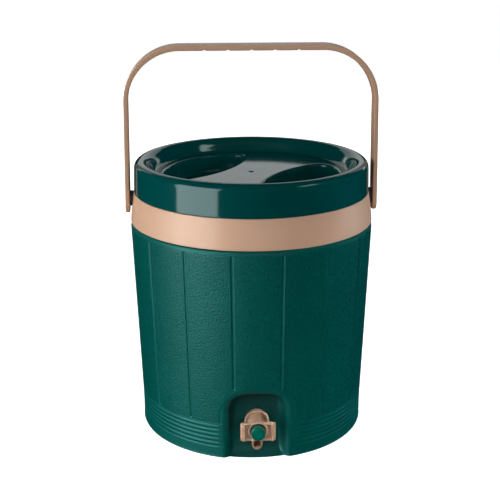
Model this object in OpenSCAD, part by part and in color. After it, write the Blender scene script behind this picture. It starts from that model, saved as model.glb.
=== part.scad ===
// Round insulated drinks jug: double-walled body with staves, collar band,
// bail handle, screw-on lid with two finger wells and a push-button tap.
// Millimetres. Origin at the centre of the base, +Z up, the tap faces -Y.

/* [Body] */
// Outer radius at the shoulder, the widest part of the body
shoulder_r = 130; // [128.8:0.2:130.2]
// Height of the body up to the shoulder, where the collar starts
body_h = 229; // [228.7:0.1:229.2]
// Thickness of the outer shell
shell_t = 3; // [2.4:0.1:3.4]
// Number of staves around the body
staves = 16; // [12:4:20]
// Width of the groove between two staves
groove_w = 3; // [2:0.5:5]
// Depth of the grooves
groove_d = 0.8; // [0.4:0.1:1.2]

/* [Tap niche] */
// Half the width of the arched niche
niche_hw = 27.5; // [26:0.25:31]
// Height of the top of the arch
niche_top = 71.5; // [67:0.5:80]
// Height of the tap's axis above the floor
tap_z = 38; // [37:0.5:40]

/* [Lid] */
// Height of the lid's crest
lid_top = 293.9; // [292:0.1:298]
// Depth of the finger wells below the lid's floor
well_depth = 19.6; // [12:0.2:24]
// Angle of the bridge between the wells, from +X
bridge_angle = 58.5; // [0:0.5:180]
// Rise of the lid in one full turn
thread_lead = 40; // [36:1:44]

/* [Handle] */
// Height of the outer face of the grip
handle_top = 414.2; // [405:0.2:430]
// Width of the strap
strap_w = 22.5; // [18:0.5:24]
// Thickness of the strap in the legs
leg_t = 4.6; // [4.2:0.1:4.8]
// Thickness of the strap at the grip
grip_t = 5.9; // [5:0.1:7]
// Distance from the pivot down to the centre of the foot's round end
foot_drop = 4.3; // [0:0.1:5]
// Distance between the finger notches under the grip
finger_pitch = 24.4; // [20:0.2:26]

/* [Tap] */
// Outer radius of the button
button_r = 7.35; // [6.9:0.05:7.8]
// Outer radius of the spout
spout_r = 5.75; // [5.25:0.05:5.8]
// Bore radius of the spout
spout_bore_r = 3.4; // [2.8:0.1:3.6]

/* [Hidden] */
$fn = 96;

green = [0.0, 0.27, 0.24];
beige = [0.80, 0.66, 0.54];
white = [0.93, 0.93, 0.90];

// arc points from angle a0 to a1 about (cx, cz)
function arc(cx, cz, r, a0, a1, n) = [for (i = [0:n]) let (a = a0 + (a1 - a0) * i / n) [cx + r * cos(a), cz + r * sin(a)]];

// ---- heights and radii shared by several pieces ----
base_in_r = 119.2;                 // inside of the shell where the base plate sits
neck_z = 255.4;                    // top of the shell's neck, under the liner's flange
flange_z = 258.4;                  // top of the liner's flange
band_top = 260.4;
slope = (shoulder_r - 122.9) / (221 - 40);
taper = atan(slope);
function body_r(z) = 122.9 + (z - 40) * slope;

// ---- tap stations along Y ----
wall_y = -104.5;                   // front face of the niche's back wall
gasket_y = -105.7;
flange_y = -109.2;
plate_y = -130;
recess_y = -132.9;
wing_y = -134.9;
button_y = -138.8;
button_rear = -127.5;
bore_floor = -123.5;
spout_y = -116;
shank_r = 9.8;
pad_y = -91;                       // flat inside the liner for the inner gasket

// ---------- outer shell ----------
shell_out = concat([[base_in_r, 0], [121, 0]], arc(121, 1.5, 1.5, -60, 0, 3),
    [[122.3, 20], [122.9, 40], [shoulder_r, 221], [shoulder_r, 225.4]],
    arc(shoulder_r - 3.6, 225.4, 3.6, 15, 75, 4),
    [[126.2, body_h], [122.6, neck_z]]);
shell_in = [[122.6 - shell_t, neck_z], [126.2 - shell_t, body_h], [shoulder_r - shell_t, 219],
    [122.9 - shell_t, 40], [base_in_r, 20]];

function arch_pts(o) = concat([[niche_hw + o, -20]],
    [for (i = [0:16]) let (a = 180 * i / 16) [(niche_hw + o) * cos(a), 50 + (niche_top - 50 + o) * sin(a)]],
    [[-niche_hw - o, -20]]);
function back_pts(o) = [[-160, -20], [-118.2 + o, -20], [-118.2 + o, 0], [-115.6 + o, 0.8], [-112.4 + o, 2.4],
    [-109.4 + o, 4.6], [-107 + o, 7.6], [-105.4 + o, 12], [-104.7 + o, 17], [wall_y + o, 22], [wall_y + o, 110], [-160, 110]];

module niche_form(o) {
    intersection() {
        rotate([90, 0, 0]) linear_extrude(height = 160) polygon(arch_pts(o));
        rotate([90, 0, 90]) linear_extrude(height = 90, center = true) polygon(back_pts(o));
    }
}

module tap_hole(r, y0, y1) {
    translate([0, y0, tap_z]) rotate([-90, 0, 0]) cylinder(r = r, h = y1 - y0);
}

module stave_grooves() {
    for (k = [0:staves - 1]) {
        a = (k + 0.5) * 360 / staves;
        near = (k == 0 || k == staves - 1);
        z0 = near ? niche_top + 10 : 42;
        rotate([0, 0, a])
            translate([0, -body_r(z0) + groove_d, z0])
                rotate([taper, 0, 0]) translate([-groove_w / 2, -6, 0]) cube([groove_w, 6, 222 - z0]);
    }
}

module skirt_ribs() {
    rotate([0, 0, -70]) rotate_extrude(angle = 320)
        for (i = [0:4]) translate([123.1, 13 + 4.6 * i]) circle(r = 1.3, $fn = 24);
}

module outer_shell() {
    color(green) difference() {
        union() {
            rotate_extrude($fn = 180) polygon(concat(shell_out, shell_in));
            intersection() {
                niche_form(3);
                rotate_extrude($fn = 180) polygon(concat([[0, 0]], [for (p = shell_out) p], [[0, neck_z]]));
            }
        }
        niche_form(0);
        tap_hole(10.2, -112, -90);
        stave_grooves();
        skirt_ribs();
    }
}

// ---------- base ----------
module base_plate() {
    color(green) difference() {
        rotate_extrude($fn = 180) polygon([[0, 0], [30, 0], [31.5, 0.6], [32.5, 2.5], [99, 2.5], [100, 0.6], [101.5, 0],
            [111, 0], [112.5, 0.6], [113.5, 2.5], [base_in_r, 2.5], [base_in_r, 5.5], [0, 5.5]]);
        niche_form(3);
        translate([65, 0, -1]) cylinder(r = 9, h = 10);
    }
}

module base_fill_plug() {
    color(green) translate([65, 0, 0]) rotate_extrude($fn = 72)
        polygon([[0, 1], [10.8, 1], [11.5, 1.5], [11.5, 2.5], [9, 2.5], [9, 6.8], [8.3, 7.5], [0, 7.5]]);
}

// ---------- foam and liner ----------
liner_out = [[0, 18.5], [90, 18.5], [95, 19.9], [97.6, 23], [98.3, 28], [105.9, 230.8], [110.5, 234.4],
    [110.5, neck_z], [122.6, neck_z], [122.6, flange_z]];
liner_in = [[109, flange_z], [108, flange_z - 1], [108, 235.6], [103.4, 231.8], [95.8, 28], [95, 24.3], [92.6, 21.8], [89.4, 21], [0, 21]];

module foam_core() {
    color("khaki") difference() {
        rotate_extrude($fn = 180) polygon(concat(
            [[0, 5.5], [base_in_r, 5.5], [base_in_r, 20], [122.9 - shell_t, 40], [shoulder_r - shell_t, 219],
             [126.2 - shell_t, body_h], [122.6 - shell_t, neck_z], [110.5, neck_z], [110.5, 234.4], [105.9, 230.8],
             [98.3, 28], [97.6, 23], [95, 19.9], [90, 18.5], [0, 18.5]]));
        niche_form(3);
        tap_hole(10.2, -112, -90);
        translate([65, 0, 5]) cylinder(r = 9, h = 2.5);
    }
}

// one helical thread ridge: radii ra (root) and rb (tip), first angle a0, sweep da,
// centre height z0 at a0
module ridge(ra, rb, a0, da, z0) {
    n = 10;
    hr = 1.6;
    ht = 1.1;
    pts = [for (i = [0:n]) let (a = a0 + da * i / n, z = z0 + thread_lead * (da * i / n) / 360)
        each [[ra * cos(a), ra * sin(a), z - hr], [rb * cos(a), rb * sin(a), z - ht],
              [rb * cos(a), rb * sin(a), z + ht], [ra * cos(a), ra * sin(a), z + hr]]];
    side = [for (i = [0:n - 1], j = [0:3]) let (a = 4 * i + j, b = 4 * i + (j + 1) % 4)
        each (ra < rb ? [[a, b, b + 4], [a, b + 4, a + 4]] : [[b, a, b + 4], [b + 4, a, a + 4]])];
    ends = ra < rb ? [[3, 2, 1], [3, 1, 0], [4 * n, 4 * n + 1, 4 * n + 2], [4 * n, 4 * n + 2, 4 * n + 3]]
                   : [[1, 2, 3], [0, 1, 3], [4 * n + 2, 4 * n + 1, 4 * n], [4 * n + 3, 4 * n + 2, 4 * n]];
    polyhedron(points = pts, faces = concat(side, ends), convexity = 4);
}

module inner_liner() {
    color(white) difference() {
        union() {
            rotate_extrude($fn = 180) polygon(concat(liner_out, liner_in));
            intersection() {
                tap_hole(16, -98.5, pad_y);
                rotate_extrude($fn = 180) polygon([for (p = concat([[0, 18.5]], [for (i = [1:5]) liner_out[i]], [[0, 230]])) p]);
            }
            for (k = [0:3]) ridge(108.4, 105.6, 90 * k, 60, 246);
        }
        tap_hole(10.2, -112, -80);
    }
}

// ---------- collar ----------
pivot_z = 251.5;
leg_in = 130.4;                    // inner face of the handle's legs at the pivot
module collar_band() {
    color(beige) difference() {
        union() {
            rotate_extrude($fn = 180) polygon([[126.2 - 0.3 * 3.6 / 26.4, body_h + 0.3], [129.9, body_h + 0.3],
                [125.7, band_top - 0.6], [125.2, band_top], [116, band_top], [116, flange_z], [122.6, flange_z], [122.6, neck_z]]);
            for (s = [-1, 1]) difference() {
                translate([s * 123, 0, pivot_z]) rotate([0, s * 90, 0]) cylinder(r = 8.2, h = 7.1);
                rotate_extrude($fn = 180) polygon([[0, 200], [126.2, body_h], [122.6, neck_z], [122.6, 270], [0, 270]]);
            }
        }
        for (s = [-1, 1]) translate([s * 118, 0, pivot_z]) rotate([0, s * 90, 0]) cylinder(r = 4, h = 20);
    }
}

module pivot_pins() {
    color(beige) for (s = [-1, 1]) translate([0, 0, pivot_z]) rotate([0, s * 90, 0]) rotate_extrude($fn = 48)
        polygon([[0, 124.4], [3.4, 124.4], [4, 125.2], [4, 132.95], [7, 132.95], [7, 134.3], [6.4, 134.8], [0, 134.8]]);
}

// ---------- handle ----------
corner_r = 59;
hx = 133.5;                        // outer half width where the corner starts
function handle_out() = concat([[135, pivot_z - 30]], [[135, pivot_z - 12]],
    arc(hx - corner_r, handle_top - corner_r, corner_r, 0, 90, 18));
function handle_in() = concat(
    arc(hx - corner_r, handle_top - corner_r, corner_r - grip_t, 90, 45, 9),
    arc(hx - corner_r, handle_top - corner_r - (grip_t - leg_t), corner_r - leg_t, 40, 0, 8),
    [[leg_in, pivot_z - 12], [leg_in, pivot_z - 30]]);
module handle_half() {
    rotate([90, 0, 0]) linear_extrude(height = strap_w, center = true)
        polygon(concat([[-0.01, handle_top]], [for (i = [len(handle_out()) - 1:-1:0]) handle_out()[i]],
            [for (i = [len(handle_in()) - 1:-1:0]) handle_in()[i]], [[-0.01, handle_top - grip_t]]));
}
module handle() {
    color(beige) difference() {
        intersection() {
            union() {
                handle_half();
                mirror([1, 0, 0]) handle_half();
            }
            // rounded feet, a little below the pivot
            union() {
                translate([-200, 0, pivot_z - foot_drop]) rotate([0, 90, 0]) cylinder(r = strap_w / 2, h = 400);
                translate([-200, -strap_w / 2, pivot_z - foot_drop]) cube([400, strap_w, 300]);
            }
        }
        for (s = [-1, 1]) translate([0, 0, pivot_z]) rotate([0, s * 90, 0]) {
            translate([0, 0, 125]) cylinder(r = 4.07, h = 20);
            translate([0, 0, 132.8]) cylinder(r = 7.3, h = 10);
        }
        for (k = [-2:2]) translate([k * finger_pitch, 0, handle_top - grip_t - 0.9])
            rotate([90, 0, 0]) cylinder(r = 2.2, h = 40, center = true, $fn = 32);
    }
}

// ---------- lid ----------
floor_z = lid_top - 15;            // upper face of the lid's dished floor
crest_z = lid_top - 7.8;
cover_out = concat([[122.5, 260.7], [125.7, 260.7], [125, crest_z]], arc(117.2, crest_z, 7.8, 11.25, 90, 7),
    [[113.6, lid_top - 0.7], [111, lid_top - 2.4], [108.8, lid_top - 5.4], [106.2, lid_top - 10.4], [104.2, lid_top - 13.6], [102.4, floor_z], [0, floor_z]]);
cover_in = concat([[0, floor_z - 2.6], [103.6, floor_z - 2.6], [106.4, lid_top - 14.4], [108.4, lid_top - 11.4], [111, lid_top - 6.4], [113.6, lid_top - 3.6]],
    arc(117.2, crest_z, 5.2, 90, 0, 6), [[122.5, crest_z - 1]]);

// leaf-shaped finger well, grown by d
module leaf(d, z0, z1, s) {
    rotate([0, 0, bridge_angle]) intersection() {
        translate([0, 0, z0]) cylinder(r = 93 + d, h = z1 - z0, $fn = 180);
        translate([0, s * 178.7, z0]) cylinder(r = 150 + d, h = z1 - z0, $fn = 180);
        translate([-71 - d, -100, z0]) cube([142 + 2 * d, 200, z1 - z0]);
    }
}

module lid_cover() {
    color(green) difference() {
        union() {
            rotate_extrude($fn = 180) polygon(concat(cover_out, cover_in));
            for (s = [-1, 1]) leaf(2.5, floor_z - well_depth - 2.5, floor_z - 1, s);
        }
        for (s = [-1, 1]) leaf(0, floor_z - well_depth, floor_z + 20, s);
        translate([0, 0, floor_z - 0.8]) cylinder(r = 1.6, h = 5, $fn = 24);
    }
}

plug_z = 236;                      // underside of the lid's plug
module lid_foam() {
    color("khaki") difference() {
        rotate_extrude($fn = 180) polygon(concat([[0, plug_z + 2.5], [100.5, plug_z + 2.5], [102.5, plug_z + 4.5], [102.5, 263.2], [122.5, 263.2], [122.5, crest_z - 1]],
            [for (i = [6:-1:0]) arc(117.2, crest_z, 5.2, 90, 0, 6)[i]],
            [[113.6, lid_top - 3.6], [111, lid_top - 6.4], [108.4, lid_top - 11.4], [106.4, lid_top - 14.4], [103.6, floor_z - 2.6], [0, floor_z - 2.6]]));
        for (s = [-1, 1]) leaf(2.5, floor_z - well_depth - 2.5, floor_z, s);
        translate([0, 0, plug_z]) cylinder(r = 5, h = 5);
    }
}

module lid_liner() {
    color(white) difference() {
        union() {
            rotate_extrude($fn = 180) polygon([[0, plug_z], [101, plug_z], [104.2, plug_z + 1.2], [105, plug_z + 4], [105, 261],
                [109.2, 261], [109.2, 262.3], [113.8, 262.3], [113.8, 261], [122.5, 261], [122.5, 263.2], [102.5, 263.2],
                [102.5, plug_z + 4.5], [100.5, plug_z + 2.5], [0, plug_z + 2.5]]);
            for (k = [0:3]) ridge(104.6, 107.6, 90 * k, 60, 242.5);
        }
        translate([0, 0, plug_z - 1]) cylinder(r = 5, h = 5);
    }
}

module lid_fill_plug() {
    color(white) rotate_extrude($fn = 48)
        polygon([[0, plug_z - 1.2], [6.8, plug_z - 1.2], [7.5, plug_z - 0.6], [7.5, plug_z], [5, plug_z], [5, plug_z + 4.2], [4.2, plug_z + 5], [0, plug_z + 5]]);
}

module lid_gasket() {
    color("white") rotate_extrude($fn = 180)
        polygon([[109.6, flange_z], [113.4, flange_z], [113.4, 261.6], [113, 262], [110, 262], [109.6, 261.6]]);
}

// ---------- tap ----------
module along_y(y0) { translate([0, y0, tap_z]) rotate([-90, 0, 0]) children(); }

module tap_body() {
    color(beige) difference() {
        union() {
            // threaded shank and barrel
            along_y(flange_y) cylinder(r = shank_r, h = -77 - flange_y);
            along_y(recess_y) cylinder(r = 9.85, h = flange_y - recess_y + 0.01);
            // guard: back plate, arched top, bottom ledge and two cheeks
            translate([-17.9, plate_y - 2, tap_z - 10.5]) cube([35.8, 2, 20.5]);
            intersection() {
                translate([-16, recess_y, tap_z + 5]) cube([32, plate_y - recess_y, 10]);
                translate([0, 0, tap_z - 109]) rotate([90, 0, 0]) cylinder(r = 120, h = 160, $fn = 180);
            }
            translate([-16, recess_y, tap_z - 10.5]) cube([32, plate_y - recess_y, 1.5]);
            for (s = [-1, 1]) translate([s * 15.65 - 2.25, wing_y, tap_z - 10.6]) cube([4.5, plate_y - wing_y, 21.4]);
            // spout with an obliquely cut mouth
            difference() {
                translate([0, spout_y, 2]) cylinder(r = spout_r, h = tap_z - 4);
                translate([-10, spout_y + spout_r, 5]) rotate([-60, 0, 0]) translate([0, -60, -40]) cube([20, 75, 40]);
            }
        }
        // chamber, seat, shank bore, button bore, gland and spout bore
        along_y(-120.4) cylinder(r = 4.9, h = 13.4);
        along_y(-107.1) cylinder(r = 4.2, h = 2);
        along_y(-105.5) cylinder(r = 6.6, h = 40);
        along_y(recess_y - 1) cylinder(r = 8.3, h = bore_floor - recess_y + 1);
        along_y(-124) cylinder(r = 2.07, h = 10);
        along_y(-122.8) cylinder(r = 3.5, h = 1.6);
        translate([0, spout_y, -5]) cylinder(r = spout_bore_r, h = tap_z + 5);
        // thread on the shank
        for (i = [0:5]) along_y(-89 + 2 * i) rotate_extrude() polygon([[8.9, 0.7], [8.9, 0.9], [12, 2.2], [12, -0.6]]);
        // rounded outer lower corners of the cheeks
        for (s = [-1, 1]) translate([s * 17.9, wing_y - 1, tap_z - 10.6]) rotate([0, 45, 0]) translate([-1.8, 0, -1.8]) cube([3.6, 30, 3.6]);
    }
}

module tap_flange() {
    color(beige) along_y(flange_y) rotate_extrude($fn = 72)
        polygon([[9.85, 0.7], [11.6, 0.7], [11.9, 0], [12.9, 0], [13.5, 0.6], [13.5, 3.5], [9.85, 3.5]]);
}

module tap_outer_gasket() {
    color("white") along_y(gasket_y) difference() {
        cylinder(r = 12.8, h = 1.2);
        translate([0, 0, -1]) cylinder(r = 10, h = 4);
    }
}

module tap_inner_gasket() {
    color("white") along_y(pad_y) difference() {
        cylinder(r = 14.8, h = 2);
        translate([0, 0, -1]) cylinder(r = 10, h = 4);
    }
}

module tap_lock_nut() {
    color(beige) along_y(pad_y + 2) difference() {
        union() {
            cylinder(r = 15, h = 2);
            cylinder(r = 15, h = 9, $fn = 6);
        }
        translate([0, 0, -1]) cylinder(r = 9.86, h = 12);
    }
}

module tap_stem_oring() {
    color("black") along_y(-122.7) difference() {
        cylinder(r = 3.45, h = 1.4);
        translate([0, 0, -1]) cylinder(r = 2.05, h = 4);
    }
}

// helical compression spring between the gland wall and the button
module tap_spring() {
    wire = 0.4;
    rm = 4.3;
    turns = 5;
    seg = 16;
    len0 = -bore_floor - 136.4;
    y1 = bore_floor - 0.05 - wire;
    y0 = -136.4 + 0.05 + wire;
    n = turns * seg;
    pts = [for (i = [0:n]) let (a = 360 * i / seg, y = y0 + (y1 - y0) * i / n)
        each [for (j = [0:7]) let (b = 45 * j, r = rm + wire * cos(b))
            [r * cos(a), y + wire * sin(b), tap_z + r * sin(a)]]];
    side = [for (i = [0:n - 1], j = [0:7]) let (p = 8 * i + j, q = 8 * i + (j + 1) % 8)
        each [[p, q, p + 8], [q, q + 8, p + 8]]];
    color("silver") polyhedron(points = pts, faces = concat(side,
        [for (j = [1:6]) [0, j + 1, j]], [for (j = [1:6]) [8 * n, 8 * n + j, 8 * n + j + 1]]), convexity = 10);
}

module tap_button() {
    color([0.0, 0.43, 0.34]) along_y(button_y) rotate_extrude($fn = 72)
        polygon([[0, 0], [button_r - 1.2, 0], [button_r - 0.4, 0.4], [button_r, 1.2], [button_r, button_rear - button_y],
            [6, button_rear - button_y], [6, 2.4], [3.2, 2.4], [3.2, 7.6], [2, 7.6], [2, 3.6], [0, 3.6]]);
}

module tap_stem() {
    color(beige) along_y(button_y + 3.6) rotate_extrude($fn = 48)
        polygon([[0, 0], [2, 0], [2, 31.2], [2, 32.7], [2.9, 32.7], [2.9, 33.6], [2, 34.6], [0, 34.6]]);
}

module tap_valve_seal() {
    color("black") along_y(-105.5) difference() {
        cylinder(r = 5.6, h = 3);
        translate([0, 0, -1]) cylinder(r = 2, h = 6);
    }
}

outer_shell();
base_plate();
base_fill_plug();
foam_core();
inner_liner();
collar_band();
pivot_pins();
handle();
lid_cover();
lid_foam();
lid_liner();
lid_fill_plug();
lid_gasket();
tap_body();
tap_flange();
tap_outer_gasket();
tap_inner_gasket();
tap_lock_nut();
tap_stem_oring();
tap_spring();
tap_button();
tap_stem();
tap_valve_seal();
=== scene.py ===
"""Round insulated drinks jug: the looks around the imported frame. Lengths below are millimetres until a mesh is made."""
import math

import bmesh
import bpy
import numpy as np
from mathutils import Matrix, Vector
from mathutils.geometry import delaunay_2d_cdt


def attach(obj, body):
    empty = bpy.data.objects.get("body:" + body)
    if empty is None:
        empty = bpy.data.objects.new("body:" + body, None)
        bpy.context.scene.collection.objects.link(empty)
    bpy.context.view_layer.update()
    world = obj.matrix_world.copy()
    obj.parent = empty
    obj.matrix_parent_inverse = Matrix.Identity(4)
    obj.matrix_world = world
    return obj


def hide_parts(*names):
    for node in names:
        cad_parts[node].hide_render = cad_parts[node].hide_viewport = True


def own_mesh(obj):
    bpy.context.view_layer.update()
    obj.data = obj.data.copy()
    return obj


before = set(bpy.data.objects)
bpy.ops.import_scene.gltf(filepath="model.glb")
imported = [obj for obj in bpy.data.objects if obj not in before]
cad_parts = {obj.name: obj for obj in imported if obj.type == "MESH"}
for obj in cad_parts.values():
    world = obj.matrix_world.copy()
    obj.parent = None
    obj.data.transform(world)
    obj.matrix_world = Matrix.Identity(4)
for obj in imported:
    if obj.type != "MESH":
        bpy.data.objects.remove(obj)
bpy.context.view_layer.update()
scene = bpy.context.scene
S = 0.001
TAU = 2 * math.pi


# ------------------------------------------------------------------ mesh helpers
def smooth(t):
    t = np.clip(t, 0.0, 1.0)
    return t * t * (3 - 2 * t)


def smin(a, b, k):
    """Smooth minimum of two arrays, with a blend k wide."""
    k = np.maximum(k, 1e-9)
    h = np.maximum(k - np.abs(a - b), 0.0) / k
    return np.minimum(a, b) - h * h * k * 0.25


def smax(a, b, k):
    return -smin(-a, -b, k)


def pchip(x, y, q):
    """Monotone cubic interpolation through (x, y) at q."""
    x, y, q = (np.asarray(v, float) for v in (x, y, q))
    h = np.diff(x)
    s = np.diff(y) / h
    d = np.zeros_like(y)
    d[0], d[-1] = s[0], s[-1]
    for i in range(1, len(x) - 1):
        if s[i - 1] * s[i] > 0:
            w1, w2 = 2 * h[i] + h[i - 1], h[i] + 2 * h[i - 1]
            d[i] = (w1 + w2) / (w1 / s[i - 1] + w2 / s[i])
    i = np.clip(np.searchsorted(x, q, side="right") - 1, 0, len(h) - 1)
    t = np.clip((q - x[i]) / h[i], 0, 1)
    return ((1 + 2 * t) * (1 - t) ** 2 * y[i] + t * (1 - t) ** 2 * h[i] * d[i]
            + t * t * (3 - 2 * t) * y[i + 1] + t * t * (t - 1) * h[i] * d[i + 1])


def fillet(points, closed=True, step=0.22):
    """A polygon with its corners rounded: points are (a, b) or (a, b, radius)."""
    pts = [(p[0], p[1], p[2] if len(p) > 2 else 0.0) for p in points]
    n, out = len(pts), []
    for i, (a, b, r) in enumerate(pts):
        if r <= 0 or (not closed and i in (0, n - 1)):
            out.append((a, b))
            continue
        p = np.array([a, b], float)
        u = np.array(pts[i - 1][:2], float) - p
        v = np.array(pts[(i + 1) % n][:2], float) - p
        lu, lv = np.linalg.norm(u), np.linalg.norm(v)
        u, v = u / lu, v / lv
        ang = math.acos(max(-1, min(1, float(u @ v))))
        t = r / math.tan(ang / 2)
        most = 0.49 * min(lu, lv)
        if t > most:
            t = most
            r = t * math.tan(ang / 2)
        c = p + (u + v) / np.linalg.norm(u + v) * (r / math.sin(ang / 2))
        a0 = math.atan2(*(p + u * t - c)[::-1])
        a1 = math.atan2(*(p + v * t - c)[::-1])
        da = (a1 - a0 + math.pi) % TAU - math.pi
        k = max(3, int(math.ceil(abs(da) / step)))
        out += [(c[0] + r * math.cos(a0 + da * j / k), c[1] + r * math.sin(a0 + da * j / k)) for j in range(k + 1)]
    return out


def support(profile, closed, gap=0.35, least=2.0):
    """Adds points close to the ends of long straight runs, so that rounded corners don't shade across flats."""
    out, n = [], len(profile)
    for i in range(n):
        a = np.array(profile[i], float)
        out.append(tuple(a))
        if i == n - 1 and not closed:
            break
        b = np.array(profile[(i + 1) % n], float)
        d = np.linalg.norm(b - a)
        if d > least:
            out.append(tuple(a + (b - a) * gap / d))
            out.append(tuple(b - (b - a) * gap / d))
    return out


def place(r, t, ang, axis, centre):
    c, s = np.cos(ang), np.sin(ang)
    if axis == "z":
        p = np.stack([r * c, r * s, t + 0 * c], -1)
    elif axis == "y":
        p = np.stack([r * c, t + 0 * c, r * s], -1)
    else:
        p = np.stack([t + 0 * c, r * c, r * s], -1)
    return p + np.array(centre, float)


def revolve(profile, n, axis="z", centre=(0, 0, 0), closed=False, start=0.0):
    """A full turn of a profile of (radius, height) points. An open profile may start and end on the axis."""
    ang = start + TAU * np.arange(n) / n
    verts, rows = [], []
    for r, t in profile:
        if r < 1e-6:
            rows.append([len(verts)])
            verts.append(place(0.0, t, np.array(0.0), axis, centre))
        else:
            rows.append(list(range(len(verts), len(verts) + n)))
            verts += list(place(r, t, ang, axis, centre))
    faces = []
    pairs = list(zip(rows, rows[1:] + (rows[:1] if closed else [])))
    for a, b in pairs[: len(rows) if closed else len(rows) - 1]:
        for i in range(n):
            j = (i + 1) % n
            if len(a) == 1 and len(b) == 1:
                continue
            if len(a) == 1:
                faces.append((a[0], b[i], b[j]))
            elif len(b) == 1:
                faces.append((a[i], b[0], a[j]))
            else:
                faces.append((a[i], b[i], b[j], a[j]))
    return np.array(verts), faces


def joined(*parts):
    verts, faces, at = [], [], 0
    for v, f in parts:
        verts.append(np.asarray(v, float))
        faces += [tuple(int(i) + at for i in q) for q in f]
        at += len(v)
    return np.concatenate(verts), faces


def grid_faces(rows, cols, wrap=False, at=0, skip=None):
    out = []
    for i in range(rows - 1):
        for j in range(cols if wrap else cols - 1):
            if skip is not None and skip[i, j]:
                continue
            k = (j + 1) % cols
            out.append((at + i * cols + j, at + i * cols + k, at + (i + 1) * cols + k, at + (i + 1) * cols + j))
    return out


def piece(name, verts, faces, material, body, replaces=(), angle=None, attrs=None, weld=None, fix=True):
    me = bpy.data.meshes.new(name)
    me.from_pydata((np.asarray(verts, float) * S).tolist(), [], [tuple(int(i) for i in f) for f in faces])
    if weld:
        bm = bmesh.new()
        bm.from_mesh(me)
        bmesh.ops.remove_doubles(bm, verts=bm.verts, dist=weld * S)
        bm.to_mesh(me)
        bm.free()
    if fix:
        bm = bmesh.new()
        bm.from_mesh(me)
        bmesh.ops.recalc_face_normals(bm, faces=bm.faces)
        bm.to_mesh(me)
        bm.free()
    me.update()
    for key, values in (attrs or {}).items():
        me.attributes.new(key, "FLOAT", "POINT").data.foreach_set("value", np.asarray(values, np.float32))
    me.shade_smooth()
    if angle:
        me.set_sharp_from_angle(angle=math.radians(angle))
    ob = bpy.data.objects.new(name, me)
    scene.collection.objects.link(ob)
    me.materials.append(material)
    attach(ob, body)
    if replaces:
        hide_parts(*replaces)
    return ob


# ------------------------------------------------------------------ materials
class Graph:
    """A short way to write a node material."""

    def __init__(self, name):
        self.mat = bpy.data.materials.new(name)
        self.mat.use_nodes = True
        self.tree = self.mat.node_tree
        self.tree.nodes.clear()
        self.out = self.tree.nodes.new("ShaderNodeOutputMaterial")
        self.bsdf = self.tree.nodes.new("ShaderNodeBsdfPrincipled")
        self.tree.links.new(self.bsdf.outputs[0], self.out.inputs[0])
        self.coord = self.tree.nodes.new("ShaderNodeTexCoord").outputs["Object"]

    def put(self, socket, value):
        if isinstance(value, bpy.types.NodeSocket):
            self.tree.links.new(value, socket)
        elif value is not None:
            socket.default_value = value

    def set(self, **values):
        for key, value in values.items():
            self.put(self.bsdf.inputs[key.replace("_", " ")], value)
        return self

    def noise(self, scale, detail=2.0, rough=0.5, distortion=0.0, vector=None):
        n = self.tree.nodes.new("ShaderNodeTexNoise")
        self.put(n.inputs["Vector"], vector or self.coord)
        self.put(n.inputs["Scale"], scale)
        self.put(n.inputs["Detail"], detail)
        self.put(n.inputs["Roughness"], rough)
        self.put(n.inputs["Distortion"], distortion)
        return n.outputs["Fac"]

    def cells(self, scale, feature="SMOOTH_F1", smoothness=0.6, vector=None):
        n = self.tree.nodes.new("ShaderNodeTexVoronoi")
        n.feature = feature
        self.put(n.inputs["Vector"], vector or self.coord)
        self.put(n.inputs["Scale"], scale)
        if "Smoothness" in n.inputs and feature == "SMOOTH_F1":
            self.put(n.inputs["Smoothness"], smoothness)
        return n.outputs["Distance"]

    def math(self, kind, a, b=None, c=None, clamp=False):
        n = self.tree.nodes.new("ShaderNodeMath")
        n.operation = kind
        n.use_clamp = clamp
        for s, v in zip(n.inputs, (a, b, c)):
            self.put(s, v)
        return n.outputs[0]

    def span(self, value, lo, hi, a, b):
        n = self.tree.nodes.new("ShaderNodeMapRange")
        for key, v in (("Value", value), ("From Min", lo), ("From Max", hi), ("To Min", a), ("To Max", b)):
            self.put(n.inputs[key], v)
        return n.outputs[0]

    def mix(self, fac, a, b):
        n = self.tree.nodes.new("ShaderNodeMix")
        n.data_type = "RGBA"
        self.put(n.inputs["Factor"], fac)
        for key, v in (("A", a), ("B", b)):
            s = [i for i in n.inputs if i.name == key and i.type == "RGBA"][0]
            self.put(s, tuple(v) + (1.0,) if isinstance(v, (tuple, list)) and len(v) == 3 else v)
        return [o for o in n.outputs if o.type == "RGBA"][0]

    def attribute(self, name):
        n = self.tree.nodes.new("ShaderNodeAttribute")
        n.attribute_name = name
        return n.outputs["Fac"]

    def xyz(self):
        n = self.tree.nodes.new("ShaderNodeSeparateXYZ")
        self.put(n.inputs[0], self.coord)
        return n.outputs

    def bump(self, height, distance, strength=1.0, normal=None):
        n = self.tree.nodes.new("ShaderNodeBump")
        self.put(n.inputs["Height"], height)
        self.put(n.inputs["Distance"], distance)
        self.put(n.inputs["Strength"], strength)
        self.put(n.inputs["Normal"], normal)
        return n.outputs["Normal"]


def tone(colour, gain):
    return tuple(min(1.0, c * gain) for c in colour)


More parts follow.
